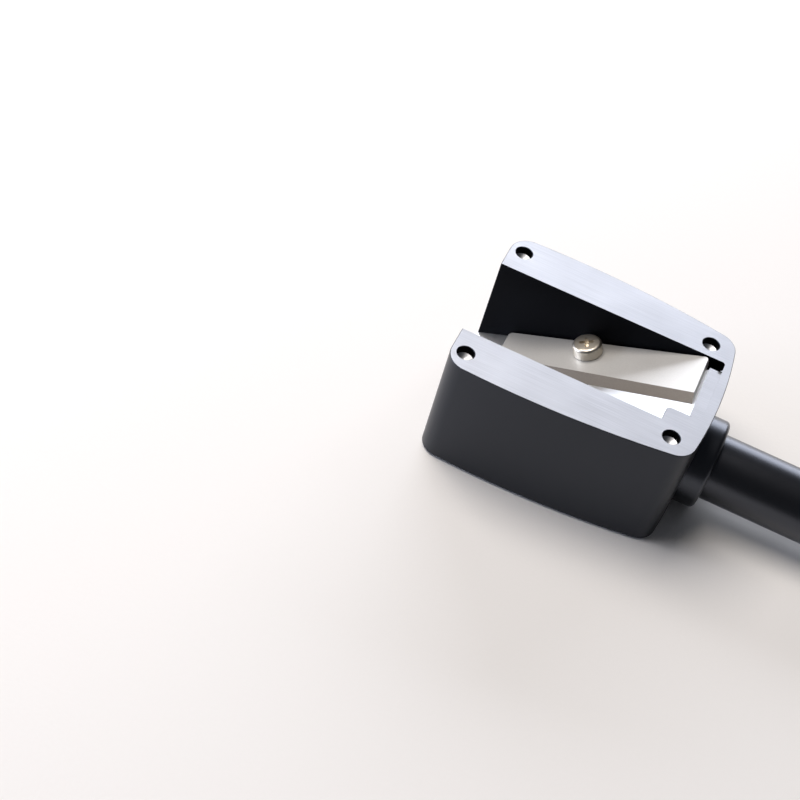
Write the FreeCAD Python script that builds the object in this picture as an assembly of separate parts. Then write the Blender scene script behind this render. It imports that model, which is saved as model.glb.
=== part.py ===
"""Block pencil sharpener with a screwed-on blade, a guide collar and the pencil seated in it.

Millimetres. The origin is the centre of the underside, below the middle of the four top holes.
+X runs along the pencil, towards the end it enters by. +Z is up and +Y is the blade's back side.
"""
import FreeCAD, Part
import math
import os

from FreeCAD import Placement, Rotation, Vector

# ---- driving dimensions -------------------------------------------------------------------

# housing block, seen from above: a flat chip end, three bulged sides, narrower at the pencil end
BLOCK_HEIGHT = 15.0
CHIP_END_X = -13.5
CHIP_END_HALF_WIDTH = 11.55
PENCIL_END_X = 14.4          # where the pencil end's corners would be if they were sharp
PENCIL_END_HALF_WIDTH = 10.0
SIDE_BULGE = 0.88
END_BULGE = 0.85
CORNER_RADIUS = 2.4
BASE_CHAMFER = 0.3

# four blind holes in the top face, for a cover's screws
COVER_HOLE_RADIUS = 1.0
COVER_HOLE_DEPTH = 1.0       # to the start of the drill point
COVER_HOLE_X = 11.8
COVER_HOLE_Y = {-COVER_HOLE_X: 9.25, COVER_HOLE_X: 8.0}
DRILL_POINT_ANGLE = math.radians(118)

# pocket: a seat that slopes up to a shallow level ledge at the pencil end
POCKET_HALF_WIDTH = 6.05
SEAT_ANGLE = math.radians(22.8)
SEAT_MEETS_TOP_X = 14.0      # where the seat's plane would reach the top face
PAD_START_X = 10.1           # the near wall steps in here, to a pad that is level with the top
PAD_EDGE_Y = -3.9
PAD_CORNER_RADIUS = 0.6
LEDGE_START_X = 12.7         # the step that the blade's end stands against
LEDGE_END_X = 14.1
LEDGE_DEPTH = 0.15
LEDGE_CORNER_RADIUS = 1.2
NOTCH_START_X = 12.35        # deep relief for the pocket's corner behind the blade
NOTCH_NEAR_Y = 4.5
NOTCH_DEPTH = 3.5
NOTCH_CORNER_RADIUS = 0.4

# chip groove: the V in the seat in front of the cutting edge, which opens the cone
GROOVE_END_X = 1.2
GROOVE_BACK_Y = 0.2
GROOVE_BOTTOM_Y = -0.4
GROOVE_FRONT_Y = -3.2
GROOVE_DEPTH = 1.8

# pencil, its bore and its cone
AXIS_HEIGHT = 5.4
PENCIL_RADIUS = 3.9
LEAD_RADIUS = 1.1
LEAD_TIP_RADIUS = 0.12
PENCIL_END = 50.0
PENCIL_END_CHAMFER = 0.2
RUNNING_CLEARANCE = 0.05
BLADE_TO_CONE_GAP = 0.04
CONE_RELIEF = 0.06           # how far the bore's cone reaches past the seat plane

# guide collar, pressed into the pencil end
COLLAR_RADIUS = 5.3
COLLAR_END_X = 17.6
COLLAR_CHAMFER = 0.6
COLLAR_LEAD_IN = 0.35
SHANK_RADIUS = 4.6
SHANK_START_X = 9.5

# blade, drawn flat on the seat
BLADE_THICKNESS = 0.75
BLADE_CHIP_END_X = -9.6
BLADE_PENCIL_END_X = 12.45
BLADE_BACK_Y = 5.85
EDGE_Y_AT_CHIP_END = 0.25
EDGE_Y_AT_PENCIL_END = -1.45
BEVEL_WIDTH = 1.1
BLADE_CORNER_RADIUS = 0.5
BLADE_HOLE_RADIUS = 1.0

# blade screw, square to the seat
SCREW_X = -0.15
SCREW_Y = 4.1
SCREW_HEAD_RADIUS = 1.7
SCREW_HEAD_HEIGHT = 1.5
SCREW_HEAD_ROUND = 0.35
THREAD_RADIUS = 0.85
THREAD_DEPTH = 1.3           # below the seat
THREAD_HOLE_DEPTH = 1.4
RECESS_SPAN = 1.9
RECESS_SLOT = 0.42
RECESS_DEPTH = 0.75

# ---- worked out from them -----------------------------------------------------------------

SEAT_SLOPE = math.tan(SEAT_ANGLE)
SEAT_HEIGHT_AT_ORIGIN = BLOCK_HEIGHT - SEAT_SLOPE * SEAT_MEETS_TOP_X
AXIS_MEETS_SEAT_X = SEAT_MEETS_TOP_X - (BLOCK_HEIGHT - AXIS_HEIGHT) / SEAT_SLOPE
CONE_APEX_X = AXIS_MEETS_SEAT_X + BLADE_TO_CONE_GAP / math.sin(SEAT_ANGLE)
BORE_APEX_X = AXIS_MEETS_SEAT_X - CONE_RELIEF / math.sin(SEAT_ANGLE)
BORE_RADIUS = PENCIL_RADIUS + RUNNING_CLEARANCE
FAR_OUT = 40.0               # well past the block on any side

ALONG_X = Vector(1, 0, 0)
UP = Vector(0, 0, 1)

# the seat's own frame: u up the slope, v across, w square to the seat, origin above the part's
ON_SEAT = Placement(Vector(0, 0, SEAT_HEIGHT_AT_ORIGIN), Rotation(Vector(0, 1, 0), -math.degrees(SEAT_ANGLE)))


def along_slope(x):
    """The seat frame's u for a point on the seat at the part's x."""
    return x / math.cos(SEAT_ANGLE)


def prism(points, depth):
    """A straight prism: the closed polygon through points, swept by the vector depth."""
    return Part.Face(Part.makePolygon(points + points[:1])).extrude(depth)


def box(x0, x1, y0, y1, z0, z1):
    return Part.makeBox(x1 - x0, y1 - y0, z1 - z0, Vector(x0, y0, z0))


def turned(profile):
    """A solid turned about the pencil's axis from (x, radius) points."""
    points = [Vector(x, 0, AXIS_HEIGHT + radius) for x, radius in profile]
    outline = Part.Face(Part.makePolygon(points + points[:1]))
    return outline.revolve(Vector(0, 0, AXIS_HEIGHT), ALONG_X, 360)


def edges_along(shape, direction, wanted):
    """The straight edges parallel to direction whose middle passes the test wanted."""
    found = []
    for edge in shape.Edges:
        if not isinstance(edge.Curve, Part.Line):
            continue
        run = edge.Vertexes[1].Point - edge.Vertexes[0].Point
        middle = (edge.Vertexes[0].Point + edge.Vertexes[1].Point) * 0.5
        if run.Length and abs(run.normalize().dot(direction)) > 0.999 and wanted(middle):
            found.append(edge)
    return found


# ---- housing ------------------------------------------------------------------------------

def block():
    """The solid block: its outline, rounded upright corners and a small chamfer round the base."""
    chip_near = Vector(CHIP_END_X, -CHIP_END_HALF_WIDTH, 0)
    pencil_near = Vector(PENCIL_END_X, -PENCIL_END_HALF_WIDTH, 0)
    pencil_far = Vector(PENCIL_END_X, PENCIL_END_HALF_WIDTH, 0)
    chip_far = Vector(CHIP_END_X, CHIP_END_HALF_WIDTH, 0)
    middle_x = (CHIP_END_X + PENCIL_END_X) / 2
    side_y = (CHIP_END_HALF_WIDTH + PENCIL_END_HALF_WIDTH) / 2 + SIDE_BULGE
    bulged = [
        (chip_near, Vector(middle_x, -side_y, 0), pencil_near),
        (pencil_near, Vector(PENCIL_END_X + END_BULGE, 0, 0), pencil_far),
        (pencil_far, Vector(middle_x, side_y, 0), chip_far),
    ]
    sides = [Part.Arc(*three) for three in bulged] + [Part.LineSegment(chip_far, chip_near)]
    outline = Part.Wire([side.toShape() for side in sides])
    solid = Part.Face(outline).extrude(UP * BLOCK_HEIGHT)
    solid = solid.makeFillet(CORNER_RADIUS, edges_along(solid, UP, lambda middle: True))
    base_edges = [edge for edge in solid.Edges if edge.BoundBox.ZMax < BASE_CHAMFER / 2]
    return solid.makeChamfer(BASE_CHAMFER, base_edges)


def pocket_plan():
    """The pocket seen from above, as an upright prism, with the pad in its near corner left out."""
    plan = prism(
        [
            Vector(-FAR_OUT, -POCKET_HALF_WIDTH, 0),
            Vector(PAD_START_X, -POCKET_HALF_WIDTH, 0),
            Vector(PAD_START_X, PAD_EDGE_Y, 0),
            Vector(LEDGE_END_X, PAD_EDGE_Y, 0),
            Vector(LEDGE_END_X, NOTCH_NEAR_Y, 0),
            Vector(NOTCH_START_X, NOTCH_NEAR_Y, 0),
            Vector(NOTCH_START_X, POCKET_HALF_WIDTH, 0),
            Vector(-FAR_OUT, POCKET_HALF_WIDTH, 0),
        ],
        UP * (BLOCK_HEIGHT + 1),
    )
    for x, radius in ((PAD_START_X, PAD_CORNER_RADIUS), (LEDGE_END_X, LEDGE_CORNER_RADIUS)):
        corner = edges_along(plan, UP, lambda middle: middle.x == x and middle.y == PAD_EDGE_Y)
        plan = plan.makeFillet(radius, corner)
    return plan


def notch():
    """The deep relief in the pocket's far corner, its two outer corners rounded."""
    space = box(
        NOTCH_START_X, LEDGE_END_X,
        NOTCH_NEAR_Y, POCKET_HALF_WIDTH,
        BLOCK_HEIGHT - NOTCH_DEPTH, BLOCK_HEIGHT + 1,
    )
    outer_corners = edges_along(space, UP, lambda middle: middle.x == LEDGE_END_X)
    return space.makeFillet(NOTCH_CORNER_RADIUS, outer_corners)


def pocket_space():
    """What the cutters clear: all above the seat and above the ledge, inside the plan, and the notch."""
    low = BLOCK_HEIGHT - SEAT_SLOPE * (SEAT_MEETS_TOP_X + FAR_OUT)
    above_floor = prism(
        [
            Vector(-FAR_OUT, -FAR_OUT, low),
            Vector(LEDGE_START_X, -FAR_OUT, BLOCK_HEIGHT - SEAT_SLOPE * (SEAT_MEETS_TOP_X - LEDGE_START_X)),
            Vector(LEDGE_START_X, -FAR_OUT, BLOCK_HEIGHT - LEDGE_DEPTH),
            Vector(FAR_OUT, -FAR_OUT, BLOCK_HEIGHT - LEDGE_DEPTH),
            Vector(FAR_OUT, -FAR_OUT, BLOCK_HEIGHT + 1),
            Vector(-FAR_OUT, -FAR_OUT, BLOCK_HEIGHT + 1),
        ],
        Vector(0, 2 * FAR_OUT, 0),
    )
    return above_floor.common(pocket_plan()).fuse(notch())


def chip_groove():
    """The V-shaped groove along the seat, open at the chip end."""
    start = along_slope(CHIP_END_X - FAR_OUT / 4)
    section = [
        Vector(start, GROOVE_BACK_Y, 1),
        Vector(start, GROOVE_BACK_Y, 0),
        Vector(start, GROOVE_BOTTOM_Y, -GROOVE_DEPTH),
        Vector(start, GROOVE_FRONT_Y, 0),
        Vector(start, GROOVE_FRONT_Y, 1),
    ]
    groove = prism(section, Vector(along_slope(GROOVE_END_X) - start, 0, 0))
    groove.Placement = ON_SEAT
    return groove


def pencil_bore():
    """The stepped bore: counterbore for the collar's shank, guide bore, then the cone to its apex."""
    cone_start_x = BORE_APEX_X + BORE_RADIUS / SEAT_SLOPE
    return turned([
        (BORE_APEX_X, 0),
        (cone_start_x, BORE_RADIUS),
        (SHANK_START_X, BORE_RADIUS),
        (SHANK_START_X, SHANK_RADIUS),
        (FAR_OUT, SHANK_RADIUS),
        (FAR_OUT, 0),
    ])


def cover_hole(x, y):
    """A blind hole down from the top face, with the drill's point at its bottom."""
    point = COVER_HOLE_RADIUS / math.tan(DRILL_POINT_ANGLE / 2)
    bottom = BLOCK_HEIGHT - COVER_HOLE_DEPTH
    hole = Part.makeCylinder(COVER_HOLE_RADIUS, COVER_HOLE_DEPTH + 1, Vector(x, y, bottom))
    return hole.fuse(Part.makeCone(0, COVER_HOLE_RADIUS, point, Vector(x, y, bottom - point)))


def thread_hole():
    """The blade screw's blind hole, square to the seat."""
    hole = Part.makeCylinder(
        THREAD_RADIUS, THREAD_HOLE_DEPTH + 1, Vector(along_slope(SCREW_X), SCREW_Y, -THREAD_HOLE_DEPTH)
    )
    hole.Placement = ON_SEAT
    return hole


def housing():
    holes = [cover_hole(x, side * y) for x, y in COVER_HOLE_Y.items() for side in (-1, 1)]
    return block().cut([pocket_space(), chip_groove(), pencil_bore(), thread_hole(), *holes])


# ---- what is fixed to the housing ---------------------------------------------------------

def guide_collar():
    """The turned bush: a shank in the block and a short collar that fits its bulged end."""
    bush = turned([
        (SHANK_START_X, BORE_RADIUS),
        (SHANK_START_X, SHANK_RADIUS),
        (PENCIL_END_X, SHANK_RADIUS),
        (PENCIL_END_X, COLLAR_RADIUS),
        (COLLAR_END_X - COLLAR_CHAMFER, COLLAR_RADIUS),
        (COLLAR_END_X, COLLAR_RADIUS - COLLAR_CHAMFER),
        (COLLAR_END_X, BORE_RADIUS + COLLAR_LEAD_IN),
        (COLLAR_END_X - COLLAR_LEAD_IN, BORE_RADIUS),
    ])
    return bush.cut(block().cut(pencil_bore()))


def blade():
    """The flat blade on the seat: one long edge ground to a bevel, and a hole for its screw."""
    chip_u = along_slope(BLADE_CHIP_END_X)
    pencil_u = along_slope(BLADE_PENCIL_END_X)
    plate = prism(
        [
            Vector(chip_u, EDGE_Y_AT_CHIP_END, 0),
            Vector(pencil_u, EDGE_Y_AT_PENCIL_END, 0),
            Vector(pencil_u, BLADE_BACK_Y, 0),
            Vector(chip_u, BLADE_BACK_Y, 0),
        ],
        UP * BLADE_THICKNESS,
    )
    back_corners = edges_along(plate, UP, lambda middle: middle.y == BLADE_BACK_Y)
    plate = plate.makeFillet(BLADE_CORNER_RADIUS, back_corners)

    skew = (EDGE_Y_AT_PENCIL_END - EDGE_Y_AT_CHIP_END) / (pencil_u - chip_u)
    run_on = 1.0
    start_y = EDGE_Y_AT_CHIP_END - skew * run_on
    bevel_rise = BLADE_THICKNESS / BEVEL_WIDTH
    ground_away = prism(
        [
            Vector(chip_u - run_on, start_y, 0),
            Vector(chip_u - run_on, start_y + 2 * BEVEL_WIDTH, 2 * BEVEL_WIDTH * bevel_rise),
            Vector(chip_u - run_on, start_y - BEVEL_WIDTH, 2 * BEVEL_WIDTH * bevel_rise),
            Vector(chip_u - run_on, start_y - BEVEL_WIDTH, 0),
        ],
        Vector(pencil_u - chip_u + 2 * run_on, skew * (pencil_u - chip_u + 2 * run_on), 0),
    )
    hole = Part.makeCylinder(BLADE_HOLE_RADIUS, BLADE_THICKNESS, Vector(along_slope(SCREW_X), SCREW_Y, 0))
    shape = plate.cut([ground_away, hole])
    shape.Placement = ON_SEAT
    return shape


def blade_screw():
    """A cheese-head screw with a cross recess; its thread is left as a plain shank."""
    foot = Vector(along_slope(SCREW_X), SCREW_Y, -THREAD_DEPTH)
    under_head = Vector(foot.x, foot.y, BLADE_THICKNESS)
    top = BLADE_THICKNESS + SCREW_HEAD_HEIGHT
    head = Part.makeCylinder(SCREW_HEAD_RADIUS, SCREW_HEAD_HEIGHT, under_head)
    rim = [edge for edge in head.Edges if edge.BoundBox.ZMin > top - SCREW_HEAD_ROUND]
    head = head.makeFillet(SCREW_HEAD_ROUND, rim)
    shank = Part.makeCylinder(THREAD_RADIUS, THREAD_DEPTH + BLADE_THICKNESS, foot)
    half_span = RECESS_SPAN / 2
    half_slot = RECESS_SLOT / 2
    arms = [
        box(foot.x - a, foot.x + a, foot.y - b, foot.y + b, top - RECESS_DEPTH, top + 1)
        for a, b in ((half_span, half_slot), (half_slot, half_span))
    ]
    shape = head.fuse(shank).cut(arms)
    shape.Placement = ON_SEAT
    return shape


# ---- pencil -------------------------------------------------------------------------------

def cone_x(radius):
    """Where the pencil's sharpened cone has this radius."""
    return CONE_APEX_X + radius / SEAT_SLOPE


def pencil_barrel():
    return turned([
        (cone_x(LEAD_RADIUS), LEAD_RADIUS),
        (cone_x(PENCIL_RADIUS), PENCIL_RADIUS),
        (PENCIL_END - PENCIL_END_CHAMFER, PENCIL_RADIUS),
        (PENCIL_END, PENCIL_RADIUS - PENCIL_END_CHAMFER),
        (PENCIL_END, LEAD_RADIUS),
    ])


def pencil_lead():
    return turned([
        (cone_x(LEAD_TIP_RADIUS), 0),
        (cone_x(LEAD_TIP_RADIUS), LEAD_TIP_RADIUS),
        (cone_x(LEAD_RADIUS), LEAD_RADIUS),
        (PENCIL_END, LEAD_RADIUS),
        (PENCIL_END, 0),
    ])


PARTS = [housing, guide_collar, blade, blade_screw, pencil_barrel, pencil_lead]

os.makedirs("parts", exist_ok=True)
for make in PARTS:
    shape = make()
    shape.exportStep(f"parts/{make.__name__}.step")
    verdict = "valid" if shape.isValid() else "NOT VALID"
    print(make.__name__, verdict, len(shape.Solids), round(shape.Volume, 2))
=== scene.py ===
"""Looks of the block pencil sharpener: its block, collar, blade and screw, and the pencil in it."""
import math

import bmesh
import bpy
from mathutils import Matrix, Vector


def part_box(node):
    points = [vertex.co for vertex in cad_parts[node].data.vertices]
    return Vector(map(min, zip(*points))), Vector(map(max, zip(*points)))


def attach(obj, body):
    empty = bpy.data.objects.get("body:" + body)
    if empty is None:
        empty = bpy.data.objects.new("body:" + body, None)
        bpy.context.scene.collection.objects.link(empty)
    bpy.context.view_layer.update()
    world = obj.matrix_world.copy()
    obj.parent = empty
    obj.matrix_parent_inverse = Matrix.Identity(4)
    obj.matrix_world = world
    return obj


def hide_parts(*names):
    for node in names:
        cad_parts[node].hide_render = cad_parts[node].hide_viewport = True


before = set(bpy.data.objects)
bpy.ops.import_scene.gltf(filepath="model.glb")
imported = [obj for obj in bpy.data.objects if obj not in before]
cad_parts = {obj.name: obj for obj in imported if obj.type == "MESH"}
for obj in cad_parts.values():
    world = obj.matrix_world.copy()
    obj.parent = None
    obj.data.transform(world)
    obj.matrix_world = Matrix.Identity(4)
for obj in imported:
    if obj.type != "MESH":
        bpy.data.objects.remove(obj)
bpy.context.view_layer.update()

MM = 0.001

# ---- sizes --------------------------------------------------------------------------------

BLOCK_LOW, BLOCK_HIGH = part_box("housing")
BARREL_LOW, BARREL_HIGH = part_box("pencil_barrel")
LEAD_LOW, LEAD_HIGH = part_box("pencil_lead")
COLLAR_LOW, COLLAR_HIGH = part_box("guide_collar")

TOP = BLOCK_HIGH.z
PENCIL_RADIUS = (BARREL_HIGH.y - BARREL_LOW.y) / 2
LEAD_RADIUS = (LEAD_HIGH.y - LEAD_LOW.y) / 2
COLLAR_RADIUS = (COLLAR_HIGH.y - COLLAR_LOW.y) / 2
AXIS = (BARREL_HIGH.z + BARREL_LOW.z) / 2

# the seat slopes up towards the pencil end, to a shallow level ledge
SEAT_ANGLE = math.radians(22.8)
SEAT_SLOPE = math.tan(SEAT_ANGLE)
SEAT_MEETS_TOP_X = 14.0 * MM
SEAT_AT_ORIGIN = TOP - SEAT_SLOPE * SEAT_MEETS_TOP_X
SEAT_NORMAL = Vector((-math.sin(SEAT_ANGLE), 0, math.cos(SEAT_ANGLE)))
ON_SEAT = Matrix.Translation((0, 0, SEAT_AT_ORIGIN)) @ Matrix.Rotation(-SEAT_ANGLE, 4, "Y")

POCKET_HALF_WIDTH = 6.05 * MM
COVER_HOLES = [(x * MM, side * y * MM) for x, y in ((-11.8, 9.25), (11.8, 8.0)) for side in (-1, 1)]
COVER_HOLE_RADIUS = 1.0 * MM
COVER_HOLE_REACH = 4 * MM    # deeper than any cover hole, and well above the underside
BASE_HEIGHT = 0.5 * MM       # the underside and the chamfer round it
LEDGE_START_X = 12.7 * MM
LEDGE_DEPTH = 0.15 * MM
NOTCH_START_X = 12.35 * MM
NOTCH_NEAR_Y = 4.5 * MM
BLADE_THICKNESS = 0.75 * MM
SCREW_X = -0.15 * MM
SCREW_Y = 4.1 * MM
SCREW_HEAD_RADIUS = 1.7 * MM
SCREW_HEAD_HEIGHT = 1.5 * MM
THREAD_RADIUS = 0.85 * MM
THREAD_END = -1.3 * MM       # below the seat
SHANK_RADIUS = 4.6 * MM
BORE_RADIUS = PENCIL_RADIUS + 0.05 * MM

EDGE_BREAK = 0.07 * MM       # a deburred machined edge
BLADE_EDGE_BREAK = 0.03 * MM
NEAR = 0.01 * MM             # closer than this counts as touching
TURNED_STEPS = 144           # facets round a turned piece
SCREW_STEPS = 96
CREASE_ANGLE = math.radians(21)   # faces that meet at a larger angle meet in a crease

# from an upright axis to the pencil's, which lies along X
ALONG_PENCIL = Matrix.Translation((0, 0, AXIS)) @ Matrix((
    (0, 0, 1, 0), (1, 0, 0, 0), (0, 1, 0, 0), (0, 0, 0, 1),
))


# ---- colour and node helpers --------------------------------------------------------------

def paint(hex_colour):
    """An sRGB hex colour as linear RGBA."""
    channels = [int(hex_colour[i:i + 2], 16) / 255 for i in (1, 3, 5)]
    linear = [c / 12.92 if c <= 0.04045 else ((c + 0.055) / 1.055) ** 2.4 for c in channels]
    return (*linear, 1.0)


def add(tree, kind, inputs=None, **settings):
    """Adds a node with its settings. An input takes a value, or another node's output."""
    node = tree.nodes.new(kind)
    for name, value in settings.items():
        setattr(node, name, value)
    for name, value in (inputs or {}).items():
        if isinstance(value, bpy.types.NodeSocket):
            tree.links.new(value, node.inputs[name])
        else:
            node.inputs[name].default_value = value
    return node


def finish(
    name, colours, roughness, grain, along=1, turn=0, relief=0.0, clouds=4.0, drift=0.35, **shader
):
    """A whole surface finish, from its sizes in millimetres.

    Grain is how wide its marks are, along is how many times longer they are than wide, turned from
    X by turn degrees, and relief is how deep. They set the gloss and most of the colour, from the
    first of colours to the second. Clouds is the size of the slow drift, and drift its share. What
    is left goes to the shader's own sockets.
    """
    material = bpy.data.materials.new(name)
    material.use_nodes = True
    tree = material.node_tree
    tree.nodes.clear()
    place = add(tree, "ShaderNodeTexCoord").outputs["Object"]
    stretched = add(tree, "ShaderNodeMapping", {
        "Vector": place,
        "Rotation": (0, 0, math.radians(turn)),
        "Scale": (1 / (grain * along * MM), 1 / (grain * MM), 1 / (grain * MM)),
    })
    marks = add(tree, "ShaderNodeTexNoise", {
        "Vector": stretched.outputs["Vector"], "Scale": 1.0, "Detail": 2.0,
    }).outputs["Fac"]
    broad = add(tree, "ShaderNodeTexNoise", {
        "Vector": place, "Scale": 1 / (clouds * MM), "Detail": 1.0,
    }).outputs["Fac"]
    tone = add(tree, "ShaderNodeMix", {"Factor": drift, "A": marks, "B": broad}, data_type="FLOAT")
    colour = add(tree, "ShaderNodeMix", {
        "Factor": tone.outputs["Result"], "A": paint(colours[0]), "B": paint(colours[1]),
    }, data_type="RGBA")
    gloss = add(tree, "ShaderNodeMapRange", {
        "Value": tone.outputs["Result"], "To Min": roughness[0], "To Max": roughness[1],
    })
    bump = add(tree, "ShaderNodeBump", {"Height": marks, "Distance": relief * MM})
    surface = add(tree, "ShaderNodeBsdfPrincipled", {
        "Base Color": colour.outputs["Result"],
        "Roughness": gloss.outputs["Result"],
        "Normal": bump.outputs["Normal"],
        **{socket.replace("_", " "): value for socket, value in shader.items()},
    })
    add(tree, "ShaderNodeOutputMaterial", {"Surface": surface.outputs["BSDF"]})
    return material


# ---- materials ----------------------------------------------------------------------------

def black_anodised_aluminium():
    """Fine-blasted, then anodised black: a satin black whose sheen is slightly cool.

    The blasted texture is drawn a few times coarser than the real 0.03 mm, so that it shows.
    """
    return finish(
        "black_anodised_aluminium", ("#020203", "#060608"), (0.32, 0.42),
        grain=0.12, relief=0.004, clouds=6.0,
        IOR=1.58, Specular_Tint=paint("#ccd6ec"),
    )


def black_anodised_painted_shade():
    """The pocket's milled and anodised walls: the same black anodising made rougher and barely
    reflective, a deep, flat black that is painted shade on the pocket, notch and hole walls.
    """
    return finish(
        "black_anodised_painted_shade", ("#020203", "#060607"), (0.42, 0.55),
        grain=0.20, along=12, relief=0.003, clouds=5.0,
        Specular_IOR_Level=0.08, Specular_Tint=paint("#c4d2f2"),
    )


def turned_black_anodised():
    """Turned on a lathe, then anodised black: smoother than the block, with faint rings."""
    return finish(
        "turned_black_anodised", ("#060607", "#0b0b0c"), (0.28, 0.34),
        grain=0.10, along=0.2, relief=0.003, clouds=6.0,
        IOR=1.75, Specular_Tint=paint("#dde5f6"),
    )


def milled_aluminium():
    """Face-milled and brushed along the block: pale, cool silver with fine straight streaks.

    The real streaks are about 0.03 mm wide, and they are drawn four times wider so that they show.
    """
    return finish(
        "milled_aluminium", ("#acaeb3", "#dcdee3"), (0.38, 0.52),
        grain=0.12, along=60, relief=0.010, clouds=5.0, Metallic=1.0,
    )


def cutter_finished_seat():
    """The seat straight from the end mill: brighter and smoother, with faint cross streaks."""
    return finish(
        "cutter_finished_seat", ("#dfe1e4", "#eff1f3"), (0.32, 0.40),
        grain=0.22, along=20, turn=90, relief=0.002, Metallic=1.0,
    )


def drilled_aluminium():
    """Bare metal left by a drill or a reamer: bright, with fine marks."""
    return finish(
        "drilled_aluminium", ("#b8babe", "#cccfd3"), (0.38, 0.50),
        grain=0.15, relief=0.004, Metallic=1.0,
    )


def ground_steel():
    """Surface-ground blade steel: grey, finely streaked across the blade.

    The real lines are about 0.02 mm wide, and they are drawn four times wider so that they show.
    """
    return finish(
        "ground_steel", ("#b8b7b4", "#d2d1ce"), (0.52, 0.60),
        grain=0.08, along=50, turn=86, relief=0.0015, Metallic=1.0,
    )


def honed_bevel_painted_shade():
    """The bevel of the cutting edge, honed, with tight strokes square to the edge; the same steel
    coloured darker than the flat, as painted shade.
    """
    return finish(
        "honed_bevel_painted_shade", ("#77726d", "#8a857f"), (0.30, 0.38),
        grain=0.10, along=30, turn=94, relief=0.0015, Metallic=1.0,
    )


def nickel_plate():
    """Nickel-plated steel: warm, bright and fairly smooth, faintly rippled."""
    return finish(
        "nickel_plate", ("#d2cabb", "#e0d9cc"), (0.30, 0.40),
        grain=0.5, relief=0.004, clouds=1.5, Metallic=1.0,
    )


def pencil_lacquer():
    """Dipped black lacquer over wood: deep black, glossy, with a slight orange peel."""
    return finish(
        "pencil_lacquer", ("#050506", "#09090a"), (0.30, 0.36),
        grain=0.9, relief=0.002, clouds=6.0,
        IOR=1.75, Specular_Tint=paint("#e2e8f8"),
    )


def black_dyed_wood():
    """Wood dyed black right through and shaved by the blade: dark charcoal with long fibres."""
    return finish(
        "black_dyed_wood", ("#171514", "#3a3532"), (0.6, 0.8),
        grain=0.16, along=30, relief=0.02,
    )


def sharpened_graphite():
    """Graphite cut by the blade: dark grey with a metallic shine."""
    return finish(
        "sharpened_graphite", ("#3b3c40", "#56575c"), (0.35, 0.5),
        grain=0.12, along=15, relief=0.008, Metallic=0.5,
    )


def pale_card():
    """Matt warm-white card under the object."""
    return finish(
        "pale_card", ("#efedea", "#f2f0ed"), (0.88, 0.94), grain=0.4, relief=0.01, clouds=40.0,
        Specular_IOR_Level=0.1,
    )


# ---- mesh helpers -------------------------------------------------------------------------

def as_object(bm, name):
    """Turns a bmesh into an object of the scene."""
    mesh = bpy.data.meshes.new(name)
    bm.to_mesh(mesh)
    bm.free()
    thing = bpy.data.objects.new(name, mesh)
    bpy.context.scene.collection.objects.link(thing)
    return thing


def as_piece(bm, name, materials, body, replaced):
    """Turns a bmesh into a finished piece that rides on a body and stands for a CAD node.

    Its faces are smooth, with creases at the larger angles and where the finish changes.
    """
    bmesh.ops.recalc_face_normals(bm, faces=bm.faces)
    for face in bm.faces:
        face.smooth = True
    for edge in bm.edges:
        finishes = {face.material_index for face in edge.link_faces}
        edge.smooth = len(finishes) == 1 and edge.calc_face_angle(0) < CREASE_ANGLE
    piece = as_object(bm, name)
    for material in materials:
        piece.data.materials.append(material)
    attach(piece, body)
    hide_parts(replaced)
    return piece


def cad_shape(node):
    """A bmesh of a CAD node with its flat facets joined into whole faces."""
    bm = bmesh.new()
    bm.from_mesh(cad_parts[node].data)
    bmesh.ops.remove_doubles(bm, verts=bm.verts, dist=0.0002 * MM)
    bmesh.ops.dissolve_limit(
        bm, angle_limit=math.radians(0.2), use_dissolve_boundaries=False,
        verts=bm.verts, edges=bm.edges,
    )
    return bm


def break_edges(bm, wanted, width):
    """Rounds off the sharp edges that pass the test wanted."""
    sharp = [
        edge for edge in bm.edges
        if len(edge.link_faces) == 2
        and edge.calc_face_angle() > math.radians(30)
        and wanted(edge)
    ]
    bmesh.ops.bevel(
        bm, geom=sharp, offset=width, offset_type="OFFSET", segments=2, profile=0.5,
        affect="EDGES", clamp_overlap=False,
    )


def turned(profile, place, steps=TURNED_STEPS, finishes=None):
    """A closed bmesh of revolution from (distance along the axis, radius) points.

    It is turned about Z and then moved by place. Finishes holds the material index of the strip
    that follows each point.
    """
    bm = bmesh.new()
    rings = []
    for along, radius in profile:
        angles = [2 * math.pi * i / steps for i in range(steps if radius else 1)]
        rings.append([
            bm.verts.new((radius * math.cos(a), radius * math.sin(a), along)) for a in angles
        ])
    strips = zip(rings, rings[1:] + rings[:1], finishes or [0] * len(profile))
    for first, second, index in strips:
        for i in range(steps):
            corners = dict.fromkeys((
                first[i % len(first)], first[(i + 1) % len(first)],
                second[(i + 1) % len(second)], second[i % len(second)],
            ))
            if len(corners) > 2:
                bm.faces.new(list(corners)).material_index = index
    bm.transform(place)
    return bm


def arc(along, radius, size, start, end, steps=5):
    """Points of an arc of radius size about (along, radius), between two angles."""
    angles = [start + (end - start) * i / steps for i in range(steps + 1)]
    return [(along + size * math.cos(a), radius + size * math.sin(a)) for a in angles]


# ---- housing ------------------------------------------------------------------------------

HOUSING_SURFACES = [
    black_anodised_aluminium(), milled_aluminium(), cutter_finished_seat(), drilled_aluminium(),
    black_anodised_painted_shade(),
]
ANODISED, MILLED, SEAT, DRILLED, PAINTED_SHADE_BLACK = range(5)


def height_over_seat(point):
    return (point - Vector((0, 0, SEAT_AT_ORIGIN))).dot(SEAT_NORMAL)


def in_cover_hole(point):
    return any((point.xy - Vector(hole)).length < COVER_HOLE_RADIUS * 1.05 for hole in COVER_HOLES)


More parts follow.
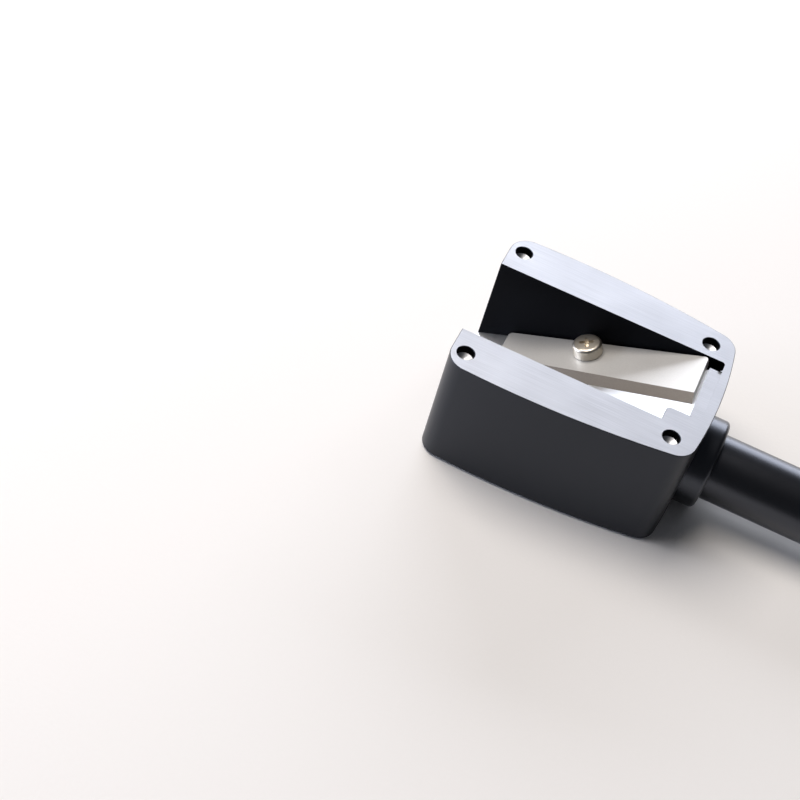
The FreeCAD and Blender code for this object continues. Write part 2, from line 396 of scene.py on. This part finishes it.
def housing_surface(face):
    """Which finish a face of the block has."""
    centre, normal = face.calc_center_median(), face.normal
    depth = TOP - centre.z
    over_seat = height_over_seat(centre)
    faces_up = normal.z > 0.99
    if depth < NEAR and faces_up:
        return MILLED
    if in_cover_hole(centre) and depth < COVER_HOLE_REACH:
        # hole walls take the barely reflective black, which is painted shade; hole bottoms stay
        # bright
        return DRILLED if normal.z > 0.1 else PAINTED_SHADE_BLACK
    outside = abs(centre.y) > POCKET_HALF_WIDTH + NEAR or centre.z < BLOCK_LOW.z + BASE_HEIGHT
    faces_pencil_end = normal.x > 0.5
    if outside or faces_pencil_end:
        return ANODISED
    # the pocket walls and the notch take the barely reflective black, which is painted shade
    on_wall = abs(centre.y) > POCKET_HALF_WIDTH - NEAR
    in_notch = centre.x > NOTCH_START_X - NEAR and centre.y > NOTCH_NEAR_Y - NEAR
    if on_wall or in_notch:
        return PAINTED_SHADE_BLACK
    if abs(depth - LEDGE_DEPTH) < NEAR and faces_up:
        return MILLED
    in_groove_or_bore = over_seat < -NEAR and centre.x > BLOCK_LOW.x + MM
    if in_groove_or_bore:
        return DRILLED
    on_seat = abs(over_seat) < NEAR and normal.dot(SEAT_NORMAL) > 0.99
    on_step = centre.x > LEDGE_START_X - NEAR and depth < MM
    return SEAT if on_seat or on_step else ANODISED


def housing():
    bm = cad_shape("housing")
    for face in bm.faces:
        face.material_index = housing_surface(face)

    def deburred(edge):
        """The top face's outer edge, the rims of its holes and the chip end's upright edges."""
        finishes = {face.material_index for face in edge.link_faces}
        start, end = (vertex.co for vertex in edge.verts)
        if MILLED in finishes and start.z > TOP - NEAR:
            return ANODISED in finishes or in_cover_hole(start)
        upright = (start.xy - end.xy).length < NEAR
        at_chip_end = start.x < BLOCK_LOW.x + 2 * MM
        return upright and at_chip_end

    break_edges(bm, deburred, EDGE_BREAK)
    return as_piece(
        bm, "block_body", HOUSING_SURFACES, "sharpener", "housing"
    )


# ---- collar, blade and screw --------------------------------------------------------------

def collar():
    """A shank in the counterbore, and a flange with a rounded rim that starts just inside it."""
    rim = 0.55 * MM
    lip = 0.3 * MM
    flange_x = BLOCK_HIGH.x - 0.9 * MM
    low_x, end_x = COLLAR_LOW.x, COLLAR_HIGH.x
    outline = [(low_x, BORE_RADIUS), (low_x, SHANK_RADIUS), (flange_x, SHANK_RADIUS),
               (flange_x, COLLAR_RADIUS)]
    outline += arc(end_x - rim, COLLAR_RADIUS - rim, rim, math.pi / 2, 0)
    outline += [(end_x, BORE_RADIUS + lip), (end_x - lip, BORE_RADIUS)]
    return as_piece(
        turned(outline, ALONG_PENCIL), "collar_ring", [turned_black_anodised()],
        "sharpener", "guide_collar",
    )


BLADE_FLAT, BLADE_BEVEL = range(2)


def blade():
    """Flat, with a bevelled cutting edge, its upper outline deburred all but along that edge."""
    clear_of_seat = 0.3 * MM
    bm = cad_shape("blade")
    # the bevel faces take the darker bevel colour, which is painted shade
    for face in bm.faces:
        on_bevel = 0.5 < face.normal.dot(SEAT_NORMAL) < 0.98
        face.material_index = BLADE_BEVEL if on_bevel else BLADE_FLAT

    def upper_outline(edge):
        return (
            all(height_over_seat(vertex.co) > clear_of_seat for vertex in edge.verts)
            and all(face.material_index == BLADE_FLAT for face in edge.link_faces)
        )

    break_edges(bm, upper_outline, BLADE_EDGE_BREAK)
    return as_piece(
        bm, "blade_plate", [ground_steel(), honed_bevel_painted_shade()], "sharpener", "blade"
    )


def cross_recess(mouth_z, floor_z):
    """A tapered cross, wide at the mouth, made as a closed cutter."""
    quarter_turns = [math.pi / 2 * quarter for quarter in range(4)]
    driven_home = math.radians(18)
    mouth = (mouth_z, 1.02 * MM, 0.24 * MM)
    bottom = (floor_z, 0.5 * MM, 0.15 * MM)
    bm = bmesh.new()
    rings = []
    for z, reach, half_slot in (mouth, bottom):
        corners = [(reach, -half_slot), (reach, half_slot), (half_slot, half_slot)]
        rings.append([
            bm.verts.new((*(Matrix.Rotation(turn + driven_home, 2) @ Vector(corner)), z))
            for turn in quarter_turns for corner in corners
        ])
    upper, lower = rings
    for i in range(len(upper)):
        after = (i + 1) % len(upper)
        bm.faces.new((upper[i], upper[after], lower[after], lower[i]))
    bm.faces.new(upper)
    bm.faces.new(list(reversed(lower)))
    bmesh.ops.recalc_face_normals(bm, faces=bm.faces)
    return bm


def screw():
    """Cheese head with a rounded, slightly domed top, a cross recess and a plain thread."""
    under_round = 0.08 * MM
    top_round = 0.36 * MM
    dome = 0.06 * MM
    recess_depth = 0.8 * MM
    above_head = 0.3 * MM
    under = BLADE_THICKNESS
    top = under + SCREW_HEAD_HEIGHT
    profile = [(THREAD_END, 0), (THREAD_END, THREAD_RADIUS), (under, THREAD_RADIUS),
               (under, SCREW_HEAD_RADIUS - under_round), (under + under_round, SCREW_HEAD_RADIUS)]
    profile += arc(
        top - dome - top_round, SCREW_HEAD_RADIUS - top_round, top_round, math.pi / 2, 0, steps=6
    )
    profile += [(top - dome / 4, SCREW_HEAD_RADIUS * 0.4), (top, 0)]
    turned_screw = turned(profile, Matrix(), SCREW_STEPS)
    bmesh.ops.recalc_face_normals(turned_screw, faces=turned_screw.faces)
    body = as_object(turned_screw, "screw_turned")
    cutter = as_object(cross_recess(top + above_head, top - recess_depth), "recess_cutter")
    cut = body.modifiers.new("recess", "BOOLEAN")
    cut.operation, cut.object, cut.solver = "DIFFERENCE", cutter, "EXACT"
    graph = bpy.context.evaluated_depsgraph_get()
    bm = bmesh.new()
    bm.from_mesh(bpy.data.meshes.new_from_object(body.evaluated_get(graph)))
    bpy.data.objects.remove(body)
    bpy.data.objects.remove(cutter)
    bm.transform(ON_SEAT @ Matrix.Translation((SCREW_X / math.cos(SEAT_ANGLE), SCREW_Y, 0)))
    return as_piece(
        bm, "screw_head_and_thread", [nickel_plate()],
        "sharpener", "blade_screw",
    )


# ---- pencil -------------------------------------------------------------------------------

LACQUER, SHAVED_WOOD = range(2)


def barrel():
    """Lacquered wood, shaved to the cone, with its back end cut square and its edge rounded."""
    back_round = 0.2 * MM
    skin = 0.1 * MM
    cone_low, back = BARREL_LOW.x, BARREL_HIGH.x
    cone_high = cone_low + (PENCIL_RADIUS - LEAD_RADIUS) / SEAT_SLOPE
    rounded = arc(back - back_round, PENCIL_RADIUS - back_round, back_round, math.pi / 2, 0)
    profile = [
        (cone_low, LEAD_RADIUS),
        (cone_high - skin / SEAT_SLOPE, PENCIL_RADIUS - skin),
        (cone_high, PENCIL_RADIUS),
        *rounded,
        (back, PENCIL_RADIUS - 2 * back_round),
        (back, LEAD_RADIUS),
    ]
    finishes = [SHAVED_WOOD, LACQUER, LACQUER, *[LACQUER] * len(rounded), SHAVED_WOOD, SHAVED_WOOD]
    return as_piece(
        turned(profile, ALONG_PENCIL, finishes=finishes), "pencil_barrel_lacquered",
        [pencil_lacquer(), black_dyed_wood()], "pencil", "pencil_barrel",
    )


def lead():
    """A graphite rod, cut to a cone whose tip is slightly blunt."""
    tip = 0.12 * MM
    low, high = LEAD_LOW.x, LEAD_HIGH.x
    profile = [
        (low, 0),
        (low + 0.01 * MM, tip * 0.6),
        (low + 0.04 * MM, tip),
        (low + (LEAD_RADIUS - tip) / SEAT_SLOPE, LEAD_RADIUS),
        (high, LEAD_RADIUS),
        (high, 0),
    ]
    return as_piece(
        turned(profile, ALONG_PENCIL), "pencil_lead_core", [sharpened_graphite()],
        "pencil", "pencil_lead",
    )


# ---- studio -------------------------------------------------------------------------------

def floor():
    """A sheet of card, 3 m across."""
    bm = bmesh.new()
    bmesh.ops.create_grid(bm, x_segments=8, y_segments=8, size=1.5)
    card = as_object(bm, "card_floor")
    card.data.materials.append(pale_card())


def softbox(name, position, aim, width, height, watts, colour):
    """A soft rectangular light, sizes in metres."""
    data = bpy.data.lights.new(name, "AREA")
    data.shape, data.size, data.size_y, data.energy = "RECTANGLE", width, height, watts
    data.color = paint(colour)[:3]
    lamp = bpy.data.objects.new(name, data)
    lamp.location = position
    lamp.rotation_euler = (Vector(aim) - Vector(position)).to_track_quat("-Z", "Y").to_euler()
    bpy.context.scene.collection.objects.link(lamp)


def sky():
    """The faint, cool light of the room's walls."""
    world = bpy.data.worlds.new("studio_walls")
    world.use_nodes = True
    tree = world.node_tree
    tree.nodes.clear()
    back = add(tree, "ShaderNodeBackground", {"Color": paint("#eef2ff"), "Strength": 0.08})
    add(tree, "ShaderNodeOutputWorld", {"Surface": back.outputs["Background"]})
    bpy.context.scene.world = world


def camera():
    """Looks down at the near side, rolled so that the block runs downhill to the pencil."""
    azimuth, elevation, roll = math.radians(10.88), math.radians(47.56), math.radians(16.7)
    aim = Vector((-16.66 * MM, -12.24 * MM, 7 * MM))
    distance = 181.8 * MM
    back = Vector((
        math.sin(azimuth) * math.cos(elevation),
        -math.cos(azimuth) * math.cos(elevation),
        math.sin(elevation),
    ))
    data = bpy.data.cameras.new("studio_camera")
    data.sensor_width = 36
    data.lens = 74.2
    data.clip_start, data.clip_end = 5 * MM, 10
    eye = bpy.data.objects.new("studio_camera", data)
    eye.location = aim + back * distance
    level = (-back).to_track_quat("-Z", "Y").to_matrix()
    eye.rotation_euler = (level @ Matrix.Rotation(roll, 3, "Z")).to_euler()
    bpy.context.scene.collection.objects.link(eye)
    bpy.context.scene.camera = eye


for make in (housing, collar, blade, screw, barrel, lead, floor, sky, camera):
    make()
for lamp in (
    ("overhead_softbox", (-0.22, 0.04, 0.45), (0, 0, 0), 0.32, 0.32, 2.3, "#fff8f2"),
    ("window_behind", (-0.08, 0.46, 0.15), (0, 0, 0.01), 0.56, 0.28, 2.7, "#f0f4ff"),
    ("fill_softbox", (-0.46, -0.16, 0.06), (0, 0, 0.01), 0.24, 0.12, 2.4, "#dfe8ff"),
):
    softbox(*lamp)
bpy.context.scene.view_settings.view_transform = "Standard"
